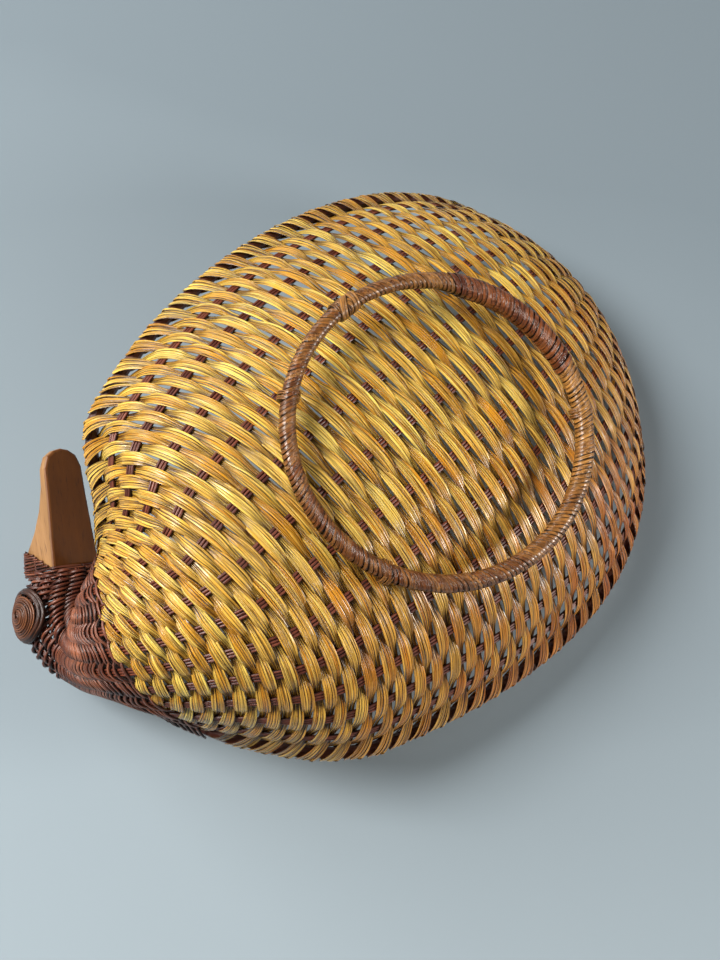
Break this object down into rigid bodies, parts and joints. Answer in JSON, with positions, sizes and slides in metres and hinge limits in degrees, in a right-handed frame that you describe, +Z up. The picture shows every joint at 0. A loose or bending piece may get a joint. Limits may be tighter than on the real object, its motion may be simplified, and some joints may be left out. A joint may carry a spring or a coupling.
{
  "type": "duck-shaped wicker basket",
  "caption": "Duck-shaped wicker bowl basket on a wrapped foot hoop, with a breast and neck turned back over one side, a wooden wedge bill and coiled eyes.",
  "frame": {"origin": "centre of the footprint, on the plane that the foot hoop stands on", "axes": "+X towards the breast, +Y to the duck's left, where the head is turned, +Z up"},
  "size_m": [0.2988, 0.224, 0.1421],
  "materials": {
    "gold_straw": "satin straw",
    "brown_strand": "satin brown strand",
    "rib_rod": "satin dark red-brown rod",
    "rim_rod": "satin dark red-brown rod",
    "foot_binding": "satin brown binding",
    "foot_splice": "glossy dark binding",
    "bill_wood": "oiled wood",
    "eye_coil": "satin dark strand"
  },
  "bodies": {
    "root": {"weave_tail": "gold_straw", "weave_middle": "gold_straw", "weave_front": "gold_straw", "breast_weave": "brown_strand", "neck_weave": "brown_strand", "head_weave": "brown_strand", "rib_01": "rib_rod", "rib_02": "rib_rod", "rib_03": "rib_rod", "rib_04": "rib_rod", "rib_05": "rib_rod", "rib_06": "rib_rod", "rib_07": "rib_rod", "rib_08": "rib_rod", "rib_09": "rib_rod", "rib_10": "rib_rod", "rib_11": "rib_rod", "rib_12": "rib_rod", "rim_hoop": "rim_rod", "foot_hoop": "foot_binding", "foot_splice": "foot_splice", "foot_knot": "foot_binding", "foot_lashing_front": "foot_splice", "foot_lashing_left": "foot_splice", "foot_lashing_rear": "foot_splice", "bill": "bill_wood", "eye_right": "eye_coil", "eye_left": "eye_coil"}
  },
  "joints": []
}
